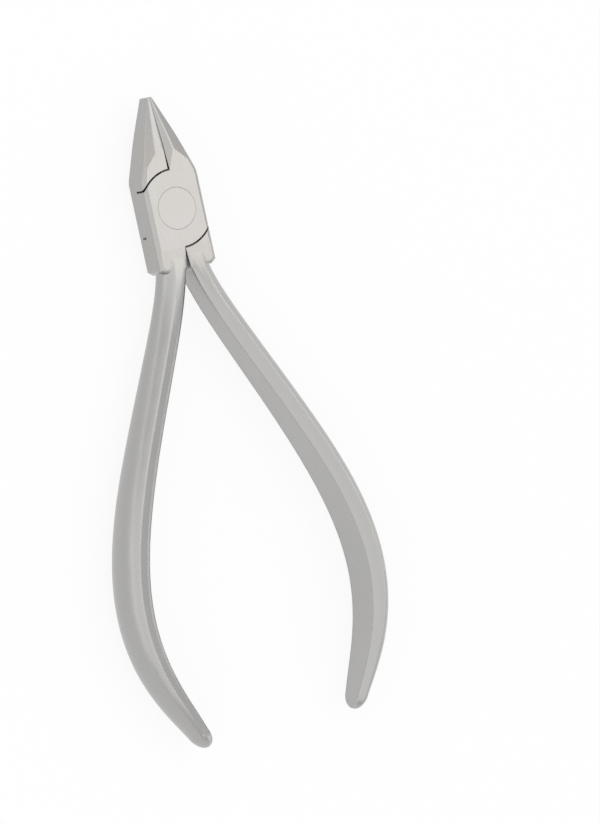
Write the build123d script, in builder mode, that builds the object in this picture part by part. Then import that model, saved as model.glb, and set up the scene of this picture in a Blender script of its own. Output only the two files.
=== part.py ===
# Orthodontic pliers: two lapped levers on one flush rivet, square-tipped tapering beaks, bowed handles.
# Frame in millimetres: origin on the pivot axis at the rear face of the joint,
# +Y towards the beak tips, +Z out of the front face.
import os
from math import cos, radians, sin, tan

from build123d import *

os.makedirs("parts", exist_ok=True)

# Joint
joint_thickness = 6.7
lap_radius = 7.8  # round shoulders that the two plates turn on
shoulder_reach = 1.3  # how far that radius passes the joint's flat sides
joint_edge_round = 1.0
shoulder_gap = 0.34  # open line between a plate and the other lever's shoulder
lap_gap = 0.04  # play between the two lapped plates

# Beaks
beak_reach = 22.9  # pivot axis to tip
beak_taper_start = 6.8  # where the outer side leaves the joint's side
beak_corner_round = 5.0
tip_width = 0.5
tip_thickness = 3.2
tip_gap = 0.02  # between the two tips when closed
throat_gap = 0.44  # between the two beaks at the shoulder
slope_start = 11.7  # where the flat joint face ends at the inner side
inner_land = 2.2  # width of the straight slope beside the inner face at its start
tip_land = 0.3  # width of the same land at the tip
bevel_start = 8.0  # where the inner edge bevel leaves the throat
bevel_width = 1.8  # widest, at the start of the slope
tip_bevel = 0.15
tip_round = 0.3

# Handle block
block_length = 11.6  # pivot axis to the end of the straight side
block_step = 1.1  # how far the neck stands inside the block's side
block_step_drop = 0.8  # slope of that step along the tool
block_fall = 0.2  # how far the block's face falls towards the neck
block_inner_length = 4.8  # how far the block's inner side follows the handle's line

# Line of the handle's inner face, from the block's inner corner
neck_heading = 6.0  # degrees outward from the long axis
neck_length = 3.0
flare_radius = 25.5
flare_heading = 25.2
straight_length = 31.0
bow_radius = 144.0
bow_heading = 17.5
palm_radius = 44.5
tail_heading = -27.0
tail_length = 8.6

# Handle section at even steps along the inner face:
# height of the inner face, full height at the crest, width, crest from the inner face
first_section = 2.0  # from the block's inner corner
handle_sections = (
    (6.4, 6.5, 5.1, 3.20),
    (6.2, 7.8, 5.0, 2.65),
    (7.0, 9.0, 5.1, 2.70),
    (8.0, 10.0, 5.2, 2.80),
    (8.9, 10.9, 5.3, 2.85),
    (9.2, 11.2, 5.1, 2.75),
    (8.7, 10.4, 4.5, 2.40),
    (6.0, 7.1, 3.0, 1.60),
)
edge_bevel_width = 0.9
edge_bevel_share = 0.5  # of the rise from the inner edge to the crest
crest_slope = 40.0  # degrees that the outer side falls where it leaves the crest
end_length = 3.6  # rounded end, along the handle
end_centre = 1.1  # where the end closes, from the inner face
end_angles = (0, 30, 60, 80)  # degrees round the end where a section is set

# Rivet
head_radius = 4.25
head_thickness = 1.5
shank_radius = 2.5
tail_radius = 3.4
tail_angle = 82.0  # countersink that the tail is hammered into
running_clearance = 0.015  # rivet to front lever, all round and under the head

middle = joint_thickness / 2
joint_half_width = lap_radius - shoulder_reach
plate_bottom = middle + lap_gap / 2
tail_depth = (tail_radius - shank_radius) / tan(radians(tail_angle / 2))


def cut_plane(first, second, third):
    """Plane through three points."""
    start = Vector(*first)
    return Plane(origin=start, x_dir=Vector(*second) - start,
                 z_dir=(Vector(*second) - start).cross(Vector(*third) - start))


def heading_vector(degrees):
    """Direction down the left handle, turned outward from the long axis."""
    return Vector(-sin(radians(degrees)), -cos(radians(degrees)))


# Right-hand beak, before the lap is cut into it
with BuildPart() as beak:
    with BuildSketch(Plane.XY):
        with BuildLine():
            Polyline(
                (0, 0),
                (joint_half_width, 0),
                (joint_half_width, beak_taper_start),
                (tip_width, beak_reach),
                (tip_gap / 2, beak_reach),
                (throat_gap / 2, lap_radius),
                close=True,
            )
        make_face()
        outer_corner = vertices().sort_by_distance((joint_half_width, beak_taper_start))[0]
        fillet(outer_corner, beak_corner_round)
    extrude(amount=joint_thickness)
    outer_faces = faces().filter_by(Plane.XY, reverse=True).sort_by(Axis.X)[-3:]
    outer_edges = [edge for face in outer_faces for edge in face.edges().filter_by(Plane.XY)]
    fillet(outer_edges, joint_edge_round)
    for side in (1, -1):
        level = middle + side * middle
        tip_level = middle + side * tip_thickness / 2
        keep_side = Keep.BOTTOM if side > 0 else Keep.TOP
        # Straight slope beside the inner face
        split(bisect_by=cut_plane((0, slope_start, level), (1, slope_start, level),
                                  (0, beak_reach, tip_level)), keep=keep_side)
        # Outer facet, leaving the flat face along a line at 45 degrees
        split(bisect_by=cut_plane((inner_land, slope_start, level),
                                  (inner_land + 1, slope_start - 1, level),
                                  (tip_land, beak_reach, tip_level)), keep=keep_side)
    # Bevel along the inner edge, on the front only
    split(bisect_by=cut_plane((throat_gap / 2, bevel_start, joint_thickness),
                              (bevel_width, slope_start, joint_thickness),
                              (tip_bevel, beak_reach, middle + tip_thickness / 2)), keep=Keep.BOTTOM)
    tip_edge = edges().filter_by(Axis.Z).sort_by_distance((tip_width, beak_reach, middle))[0]
    fillet(tip_edge, tip_round)

# Line of the left handle's inner face
with BuildLine() as inner_line:
    neck = Line((0, -lap_radius), Vector(0, -lap_radius) + heading_vector(neck_heading) * neck_length)
    flare = JernArc(neck @ 1, neck % 1, flare_radius, neck_heading - flare_heading)
    straight = Line(flare @ 1, (flare @ 1) + heading_vector(flare_heading) * straight_length)
    bow = JernArc(straight @ 1, straight % 1, bow_radius, flare_heading - bow_heading)
    palm = JernArc(bow @ 1, bow % 1, palm_radius, bow_heading - tail_heading)
    tail = Line(palm @ 1, (palm @ 1) + heading_vector(tail_heading) * tail_length)
handle_line = inner_line.wires()[0]
handle_length = handle_line.length

# Left handle: one loft down to the last section, one that closes it like half an egg
section_step = (handle_length - first_section - end_length) / (len(handle_sections) - 1)
body_sections = [
    (first_section + number * section_step, 1.0, section)
    for number, section in enumerate(handle_sections)
]
end_start = body_sections[-1][0]
end_sections = [
    (end_start + end_length * sin(radians(angle)), cos(radians(angle)), handle_sections[-1])
    for angle in end_angles
]
with BuildPart() as handle:
    for group in (body_sections, end_sections):
        for along, shrink, (inner_height, full_height, width, crest) in group:
            # Corners of the section's upper half, from the point where the end closes
            inner_edge = Vector(-end_centre, inner_height / 2)
            crest_corner = Vector(crest - end_centre, full_height / 2)
            bevel_rise = edge_bevel_share * (crest_corner.Y - inner_edge.Y)
            bevel_edge = inner_edge + Vector(edge_bevel_width, bevel_rise)
            # Pull on the outer curve that brings its middle to the full width
            pull_length = 4 / 3 * (width - crest) / cos(radians(crest_slope))
            outer_pull = crest_corner + Vector(pull_length, 0).rotate(Axis.Z, -crest_slope)
            upper = [inner_edge, bevel_edge, crest_corner, outer_pull]
            lower = [Vector(point.X, -point.Y) for point in upper]
            spot = handle_line.position_at(along / handle_length)
            run = handle_line.tangent_at(along / handle_length)
            outward = Vector(run.Y, -run.X)
            centre = spot + outward * end_centre + Vector(0, 0, middle)
            with BuildSketch(Plane(origin=centre, x_dir=outward, z_dir=run)):
                with BuildLine():
                    Polyline(*reversed(lower[:3]), *upper[:3])
                    Bezier(*upper[2:], *reversed(lower[2:]))
                make_face()
                scale(by=shrink)
        loft()

# Handle block in the lower left quarter
with BuildPart() as block:
    with BuildSketch(Plane.XY):
        with BuildLine():
            Polyline(
                (0, 0),
                (-joint_half_width, 0),
                (-joint_half_width, -block_length),
                (block_step - joint_half_width, -block_length - block_step_drop),
                handle_line.position_at(block_inner_length / handle_length),
                (0, -lap_radius),
                close=True,
            )
        make_face()
    extrude(amount=joint_thickness)
    outer_edges = edges().filter_by(Axis.Y).group_by(Axis.X)[0]
    end_edges = edges().filter_by(Plane.XY).filter_by(lambda edge: edge.center().Y < -block_length)
    fillet(outer_edges + end_edges, joint_edge_round)
    # Faces that fall from the joint to the neck
    for side in (1, -1):
        level = middle + side * middle
        split(bisect_by=cut_plane((0, -lap_radius, level), (1, -lap_radius, level),
                                  (0, -block_length, level - side * block_fall)),
              keep=Keep.TOP if side > 0 else Keep.BOTTOM)

# Front plate, round where it meets the other lever's shoulders
with BuildPart() as plate:
    with BuildSketch(Plane.XY.offset(plate_bottom)):
        Circle(lap_radius)
        Rectangle(2 * joint_half_width, 2 * lap_radius, mode=Mode.INTERSECT)
    extrude(amount=joint_thickness - plate_bottom)
    side_edges = edges().filter_by(Axis.Y).group_by(Axis.Z)[-1]
    fillet(side_edges, joint_edge_round)

# Front lever without its rivet seat: front plate, right beak and left handle
with BuildPart() as lever:
    add(beak.part)
    add(block.part)
    # Bed for the other lever's plate
    with BuildSketch(Plane.XY):
        Circle(lap_radius + shoulder_gap)
    extrude(amount=plate_bottom, mode=Mode.SUBTRACT)
    add(plate.part)
    add(handle.part)

# Front lever, bored for the rivet's head and shank
with BuildPart() as front_lever:
    add(lever.part)
    with Locations((0, 0, joint_thickness)):
        CounterBoreHole(
            radius=shank_radius + running_clearance,
            counter_bore_radius=head_radius + running_clearance,
            counter_bore_depth=head_thickness + running_clearance,
        )
front_lever.part.label = "front_lever"
export_step(front_lever.part, "parts/front_lever.step")

# Rear lever: the same forging turned over about the long axis, bored for the rivet's shank and tail
long_axis = Axis((0, 0, middle), (0, 1, 0))
with BuildPart() as rear_lever:
    add(lever.part.rotate(long_axis, 180))
    with Locations(Location((0, 0, 0), (180, 0, 0))):
        CounterSinkHole(radius=shank_radius, counter_sink_radius=tail_radius,
                        counter_sink_angle=tail_angle)
rear_lever.part.label = "rear_lever"
export_step(rear_lever.part, "parts/rear_lever.step")

# Rivet: flush head in front, hammered flush at the rear
with BuildPart() as pivot_rivet:
    with BuildSketch(Plane.XZ):
        with BuildLine():
            Polyline(
                (0, 0),
                (tail_radius, 0),
                (shank_radius, tail_depth),
                (shank_radius, joint_thickness - head_thickness),
                (head_radius, joint_thickness - head_thickness),
                (head_radius, joint_thickness),
                (0, joint_thickness),
                close=True,
            )
        make_face()
    revolve(axis=Axis.Z)
pivot_rivet.part.label = "pivot_rivet"
export_step(pivot_rivet.part, "parts/pivot_rivet.step")
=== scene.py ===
from math import cos, radians, sin

import bpy
from mathutils import Matrix, Vector


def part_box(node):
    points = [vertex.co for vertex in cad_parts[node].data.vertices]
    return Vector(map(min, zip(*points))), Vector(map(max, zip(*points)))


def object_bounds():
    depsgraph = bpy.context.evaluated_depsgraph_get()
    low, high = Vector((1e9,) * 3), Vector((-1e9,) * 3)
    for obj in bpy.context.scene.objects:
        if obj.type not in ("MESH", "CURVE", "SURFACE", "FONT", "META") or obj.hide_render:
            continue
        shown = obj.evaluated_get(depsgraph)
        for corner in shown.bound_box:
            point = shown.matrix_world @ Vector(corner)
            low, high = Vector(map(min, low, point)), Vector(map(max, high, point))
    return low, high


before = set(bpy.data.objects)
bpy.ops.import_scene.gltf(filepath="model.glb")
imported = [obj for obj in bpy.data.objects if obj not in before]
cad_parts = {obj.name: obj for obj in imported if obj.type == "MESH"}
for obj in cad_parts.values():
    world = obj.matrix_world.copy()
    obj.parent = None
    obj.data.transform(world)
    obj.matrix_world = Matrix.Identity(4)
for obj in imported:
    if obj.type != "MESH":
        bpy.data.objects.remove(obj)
cad_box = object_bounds()

# Lengths are in metres, and the tool's long axis is Y, with the beak tips at the +Y end.

# Picture: the pivot's place in it and how the tool is turned to the camera
IMAGE_WIDTH = 600
IMAGE_HEIGHT = 824
PIVOT_PIXEL = (169.4, 209.3)
PIXELS_PER_METRE = 4980.0
CAMERA_DISTANCE = 2.5
VIEW_TURN = radians(28.1)  # towards the left side of the joint
VIEW_TILT = radians(3.2)  # towards the beak tips
VIEW_ROLL = radians(-12.15)
SENSOR = 36.0  # millimetres on the picture's long side

# Places along the tool where the finish changes
TIP_END = 0.021
TIP_START = 0.015
BEAK_START = 0.010
BEAK_FADE = 0.003
NECK_FADE = 0.003
HANDLE_START = -0.011  # where the handles leave the joint and their grain begins to lean
HANDLE_FADE = 0.006  # length over which the handles' softer finish sets in
NECK_END = -0.026

# Colour of the steel
STEEL_COLOR = (0.420, 0.416, 0.410)
STEEL_WARM = (0.432, 0.419, 0.400)
# lighter colour on sharp edges, partly edge wear and partly a painted highlight along the edges
EDGE_WEAR_AND_HIGHLIGHT_COLOR = (0.45, 0.446, 0.438)
PATCH_RANGE = (0.3, 0.7)  # noise that counts as none and all of a warm patch
PATCH_WARMTH = (0.2, 1.0)  # share of the warm colour at those two
HANDLE_COOLING = 0.5  # how much of that share the handles lose

# Softened edges, as radius of the rounding
EDGE_RADIUS = 0.00015  # joint
HANDLE_EDGE_RADIUS = 0.0007  # handles, which are rubbed smoother
BEAK_EDGE_RADIUS = 0.0004  # added on the beaks' facets, but not at their narrow tips
NECK_EDGE_RADIUS = 0.0008  # added where a handle grows out of its block
EDGE_SAMPLES = 8
WEAR_AND_HIGHLIGHT_RANGE = (0.999, 0.93)  # cosine of the normal's turn where edge wear and painted edge highlight are none and where they are full

# Grain and polish
LEVER_ROUGHNESS = 0.28
RIVET_ROUGHNESS = 0.27
GRAIN_ROUGHNESS = 0.10  # full swing of the roughness from streak to streak
PATCH_ROUGHNESS = 0.08  # full swing from patch to patch
EDGE_POLISH = 0.06  # how much smoother a worn edge is
GRAIN_WIDTH = 0.00016
GRAIN_LENGTH = 0.006
GRAIN_DEPTH = 0.00002
GRAIN_STRENGTH = 0.25
GRAIN_NOISE = (3.0, 0.6)  # detail and roughness of the noise
HANDLE_LEAN = 0.42  # sideways run of the handles for each unit along the tool
PATCH_WIDTH = 0.007
PATCH_NOISE = (2.0, 0.5)
WAVE_WIDTH = 0.010  # soft waves that hand polishing leaves on the handles
WAVE_DEPTH = 0.00022
WAVE_NOISE = (1.0, 0.5)

# Stage
FLOOR_SIZE = 4.0
FLOOR_COLOR = (0.9, 0.9, 0.9)
FLOOR_ROUGHNESS = 0.9
FLOOR_WHITE_SHARE = 0.88
WORLD_COLOR = (0.79, 0.79, 0.79)
WARM_WHITE = (1.0, 0.97, 0.94)
PLAIN_WHITE = (1.0, 1.0, 1.0)
LAMP_POWER = 4.0  # watts for each square metre of a softbox at a glow of 1


def add_node(tree, kind, **settings):
    """A new shader node with the settings given."""
    node = tree.nodes.new(kind)
    for name, value in settings.items():
        setattr(node, name, value)
    return node


def join(tree, source, target):
    """Feeds one socket from another."""
    tree.links.new(source, target)


def arithmetic(tree, operation, first, second=0.0, third=0.0):
    """The result of a sum on sockets or plain numbers."""
    node = add_node(tree, "ShaderNodeMath", operation=operation)
    for socket, value in zip(node.inputs, (first, second, third)):
        if isinstance(value, bpy.types.NodeSocket):
            join(tree, value, socket)
        else:
            socket.default_value = value
    return node.outputs[0]


def rescale(tree, value, start, target):
    """A value brought smoothly from one range to another."""
    node = add_node(tree, "ShaderNodeMapRange", interpolation_type="SMOOTHSTEP")
    join(tree, value, node.inputs["Value"])
    names = ("From Min", "From Max", "To Min", "To Max")
    for name, number in zip(names, (*start, *target)):
        node.inputs[name].default_value = number
    return node.outputs["Result"]


def rising(tree, value, low, high):
    """A share that rises from 0 to 1 between two values."""
    return rescale(tree, value, (low, high), (0.0, 1.0))


def falling(tree, value, low, high):
    """A share that falls from 1 to 0 between two values."""
    return rescale(tree, value, (low, high), (1.0, 0.0))


def blend_color(tree, share, first, second):
    """One colour laid over another by a share from 0 to 1."""
    node = add_node(tree, "ShaderNodeMix", data_type="RGBA", clamp_factor=True)
    join(tree, share, node.inputs["Factor"])
    for name, value in (("A", first), ("B", second)):
        socket = next(s for s in node.inputs if s.name == name and s.type == "RGBA")
        if isinstance(value, bpy.types.NodeSocket):
            join(tree, value, socket)
        else:
            socket.default_value = (*value, 1.0)
    return next(s for s in node.outputs if s.type == "RGBA")


def noise(tree, place, detail, roughness):
    """Soft noise read at a place, about 0.5 on average."""
    node = add_node(tree, "ShaderNodeTexNoise")
    node.inputs["Scale"].default_value = 1.0
    node.inputs["Detail"].default_value = detail
    node.inputs["Roughness"].default_value = roughness
    join(tree, place, node.inputs["Vector"])
    return node.outputs["Fac"]


def stretched(tree, x, y, z, widths):
    """A place measured in units of the given widths."""
    node = add_node(tree, "ShaderNodeCombineXYZ")
    for socket, value, width in zip(node.inputs, (x, y, z), widths):
        join(tree, arithmetic(tree, "DIVIDE", value, width), socket)
    return node.outputs[0]


def edge_radius(tree, along, on_handle):
    """Radius that the edges are softened by, at a place along the tool."""
    handle_extra = HANDLE_EDGE_RADIUS - EDGE_RADIUS
    radius = arithmetic(tree, "MULTIPLY_ADD", on_handle, handle_extra, EDGE_RADIUS)
    on_neck = arithmetic(
        tree, "MULTIPLY",
        falling(tree, along, HANDLE_START, HANDLE_START + NECK_FADE),
        rising(tree, along, NECK_END, HANDLE_START - HANDLE_FADE))
    radius = arithmetic(tree, "MULTIPLY_ADD", on_neck, NECK_EDGE_RADIUS, radius)
    on_beak = arithmetic(
        tree, "MULTIPLY",
        rising(tree, along, BEAK_START, BEAK_START + BEAK_FADE),
        falling(tree, along, TIP_START, TIP_END))
    return arithmetic(tree, "MULTIPLY_ADD", on_beak, BEAK_EDGE_RADIUS, radius)


def worn_and_highlit_edges(tree, along, on_handle):
    """Share of wear and painted highlight, 1 on a sharp edge, and the normal rounded over that
    edge.
    """
    rounded = add_node(tree, "ShaderNodeBevel", samples=EDGE_SAMPLES)
    join(tree, edge_radius(tree, along, on_handle), rounded.inputs["Radius"])
    surface = add_node(tree, "ShaderNodeNewGeometry")
    alike = add_node(tree, "ShaderNodeVectorMath", operation="DOT_PRODUCT")
    join(tree, rounded.outputs[0], alike.inputs[0])
    join(tree, surface.outputs["Normal"], alike.inputs[1])
    return rising(tree, alike.outputs["Value"], *WEAR_AND_HIGHLIGHT_RANGE), rounded.outputs[0]


def satin_steel(name, grain_place, base_roughness):
    """Satin-brushed stainless steel whose grain is read at grain_place(tree)."""
    material = bpy.data.materials.new(name)
    material.use_nodes = True
    tree = material.node_tree
    steel = tree.nodes["Principled BSDF"]
    steel.inputs["Metallic"].default_value = 1.0
    place, grain_at = grain_place(tree)
    along = place[1]
    grain = noise(tree, grain_at, *GRAIN_NOISE)
    patch = noise(tree, stretched(tree, *place, (PATCH_WIDTH,) * 3), *PATCH_NOISE)
    on_handle = falling(tree, along, HANDLE_START - HANDLE_FADE, HANDLE_START)
    wear_and_highlight, rounded = worn_and_highlit_edges(tree, along, on_handle)

    patch_warmth = rescale(tree, patch, PATCH_RANGE, PATCH_WARMTH)
    warmth = arithmetic(tree, "MULTIPLY_ADD", on_handle, -HANDLE_COOLING, patch_warmth)
    tint = blend_color(tree, warmth, STEEL_COLOR, STEEL_WARM)
    # sharp edges take the lighter edge colour: partly wear, partly a painted highlight along the
    # edges
    worn_and_highlit = blend_color(tree, wear_and_highlight, tint, EDGE_WEAR_AND_HIGHLIGHT_COLOR)
    join(tree, worn_and_highlit, steel.inputs["Base Color"])

    streak_low = base_roughness - GRAIN_ROUGHNESS / 2
    streaks = arithmetic(tree, "MULTIPLY_ADD", grain, GRAIN_ROUGHNESS, streak_low)
    smears = arithmetic(tree, "MULTIPLY_ADD", patch, PATCH_ROUGHNESS, -PATCH_ROUGHNESS / 2)
    rough = arithmetic(tree, "ADD", streaks, smears)
    polished = arithmetic(tree, "MULTIPLY_ADD", wear_and_highlight, -EDGE_POLISH, rough)
    join(tree, polished, steel.inputs["Roughness"])

    waves = noise(tree, stretched(tree, *place, (WAVE_WIDTH,) * 3), *WAVE_NOISE)
    wave_bump = add_node(tree, "ShaderNodeBump")
    wave_bump.inputs["Distance"].default_value = WAVE_DEPTH
    join(tree, on_handle, wave_bump.inputs["Strength"])
    join(tree, waves, wave_bump.inputs["Height"])
    join(tree, rounded, wave_bump.inputs["Normal"])
    grain_bump = add_node(tree, "ShaderNodeBump")
    grain_bump.inputs["Strength"].default_value = GRAIN_STRENGTH
    grain_bump.inputs["Distance"].default_value = GRAIN_DEPTH
    join(tree, grain, grain_bump.inputs["Height"])
    join(tree, wave_bump.outputs[0], grain_bump.inputs["Normal"])
    join(tree, grain_bump.outputs[0], steel.inputs["Normal"])
    return material


def object_place(tree):
    """The three measures of a point on the tool."""
    place = add_node(tree, "ShaderNodeTexCoord")
    split = add_node(tree, "ShaderNodeSeparateXYZ")
    join(tree, place.outputs["Object"], split.inputs[0])
    return tuple(split.outputs)


def lengthwise_grain(lean):
    """Grain that runs along the beak and joint, then follows a handle that leans to one side."""

    def read(tree):
        x, y, z = object_place(tree)
        past_start = arithmetic(tree, "SUBTRACT", y, HANDLE_START)
        below = arithmetic(tree, "MINIMUM", past_start, 0.0)
        across = arithmetic(tree, "MULTIPLY_ADD", below, -lean, x)
        widths = (GRAIN_WIDTH, GRAIN_LENGTH, GRAIN_WIDTH)
        return (x, y, z), stretched(tree, across, y, z, widths)

    return read


def turned_grain(tree):
    """Fine rings round the rivet's axis."""
    x, y, z = object_place(tree)
    square = arithmetic(tree, "MULTIPLY_ADD", y, y, arithmetic(tree, "MULTIPLY", x, x))
    radius = arithmetic(tree, "SQRT", square)
    widths = (GRAIN_WIDTH, GRAIN_LENGTH, GRAIN_LENGTH)
    return (x, y, z), stretched(tree, radius, y, z, widths)


def dress(node, material):
    """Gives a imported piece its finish."""
    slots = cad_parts[node].data.materials
    slots.clear()
    slots.append(material)


def white_paper():
    """Pale paper that the camera and the steel see nearly white, with the tool's shadow kept."""
    material = bpy.data.materials.new("white_paper")
    material.use_nodes = True
    tree = material.node_tree
    paper = tree.nodes["Principled BSDF"]
    paper.inputs["Base Color"].default_value = (*FLOOR_COLOR, 1.0)
    paper.inputs["Roughness"].default_value = FLOOR_ROUGHNESS
    glow = add_node(tree, "ShaderNodeEmission")
    rays = add_node(tree, "ShaderNodeLightPath")
    seen = arithmetic(tree, "ADD", rays.outputs["Is Camera Ray"], rays.outputs["Is Glossy Ray"])
    seen = arithmetic(tree, "ADD", seen, rays.outputs["Is Transmission Ray"])
    seen = arithmetic(tree, "MINIMUM", seen, 1.0)
    share = arithmetic(tree, "MULTIPLY", seen, FLOOR_WHITE_SHARE)
    mix = add_node(tree, "ShaderNodeMixShader")
    join(tree, share, mix.inputs[0])
    join(tree, paper.outputs[0], mix.inputs[1])
    join(tree, glow.outputs[0], mix.inputs[2])
    join(tree, mix.outputs[0], tree.nodes["Material Output"].inputs["Surface"])
    return material


def lay_floor():
    """White floor that the tool lies on."""
    bpy.ops.object.select_all(action="DESELECT")
    bpy.ops.mesh.primitive_plane_add(size=FLOOR_SIZE, location=(0, 0, cad_box[0].z))
    floor = bpy.context.object
    floor.name = "floor"
    floor.data.materials.append(white_paper())


def hang_softbox(name, direction, distance, length, width, glow, color):
    """A softbox of even glow that looks at the pivot from the direction given."""
    lamp = bpy.data.lights.new(name, "AREA")
    lamp.shape = "RECTANGLE"
    lamp.size = length
    lamp.size_y = width
    lamp.energy = LAMP_POWER * glow * length * width
    lamp.color = color
    box = bpy.data.objects.new(name, lamp)
    bpy.context.scene.collection.objects.link(box)
    back = Vector(direction).normalized()
    box.location = pivot + back * distance
    box.rotation_euler = (-back).to_track_quat("-Z", "Y").to_euler()


def light_room():
    """Even grey room light."""
    world = bpy.data.worlds.new("room")
    world.use_nodes = True
    background = world.node_tree.nodes["Background"]
    background.inputs["Color"].default_value = (*WORLD_COLOR, 1.0)
    bpy.context.scene.world = world


def place_camera():
    """Far camera that puts the pivot at its pixel, with the tool turned as in the picture."""
    back = Vector((
        -sin(VIEW_TURN) * cos(VIEW_TILT),
        sin(VIEW_TILT),
        cos(VIEW_TURN) * cos(VIEW_TILT),
    ))
    level = Vector((0, 1, 0)).cross(back).normalized()
    upright = back.cross(level)
    right = cos(VIEW_ROLL) * level + sin(VIEW_ROLL) * upright
    up = cos(VIEW_ROLL) * upright - sin(VIEW_ROLL) * level
    aside = (PIVOT_PIXEL[0] - IMAGE_WIDTH / 2) / PIXELS_PER_METRE
    above = (IMAGE_HEIGHT / 2 - PIVOT_PIXEL[1]) / PIXELS_PER_METRE
    camera = bpy.data.objects.new("camera", bpy.data.cameras.new("camera"))
    camera.data.sensor_width = SENSOR
    camera.data.lens = PIXELS_PER_METRE * CAMERA_DISTANCE / IMAGE_HEIGHT * SENSOR
    place = pivot + back * CAMERA_DISTANCE - right * aside - up * above
    turn = Matrix((right, up, back)).transposed().to_4x4()
    camera.matrix_world = Matrix.Translation(place) @ turn
    bpy.context.scene.collection.objects.link(camera)
    bpy.context.scene.camera = camera


front_grain = lengthwise_grain(HANDLE_LEAN)
rear_grain = lengthwise_grain(-HANDLE_LEAN)
dress("front_lever", satin_steel("front_lever_satin_steel", front_grain, LEVER_ROUGHNESS))
dress("rear_lever", satin_steel("rear_lever_satin_steel", rear_grain, LEVER_ROUGHNESS))
dress("pivot_rivet", satin_steel("rivet_satin_steel", turned_grain, RIVET_ROUGHNESS))

rivet_low, rivet_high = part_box("pivot_rivet")
pivot = (rivet_low + rivet_high) / 2
lay_floor()
light_room()
# Bright patch on the joint's face
hang_softbox("key_softbox", direction=(0.50, 0.10, 0.86), distance=0.6,
             length=0.48, width=0.28, glow=0.79, color=WARM_WHITE)
# Broad light on the upper sides of both handles
hang_softbox("left_softbox", direction=(-0.58, -0.13, 0.80), distance=0.55,
             length=1.1, width=1.1, glow=0.33, color=PLAIN_WHITE)
# Low strips on the left and the right
hang_softbox("left_card", direction=(-0.98, 0.17, 0.085), distance=0.6,
             length=1.0, width=0.10, glow=0.50, color=PLAIN_WHITE)
hang_softbox("right_card", direction=(0.95, -0.25, 0.11), distance=0.7,
             length=0.9, width=0.15, glow=0.6, color=PLAIN_WHITE)
place_camera()
bpy.context.scene.view_settings.view_transform = "Standard"
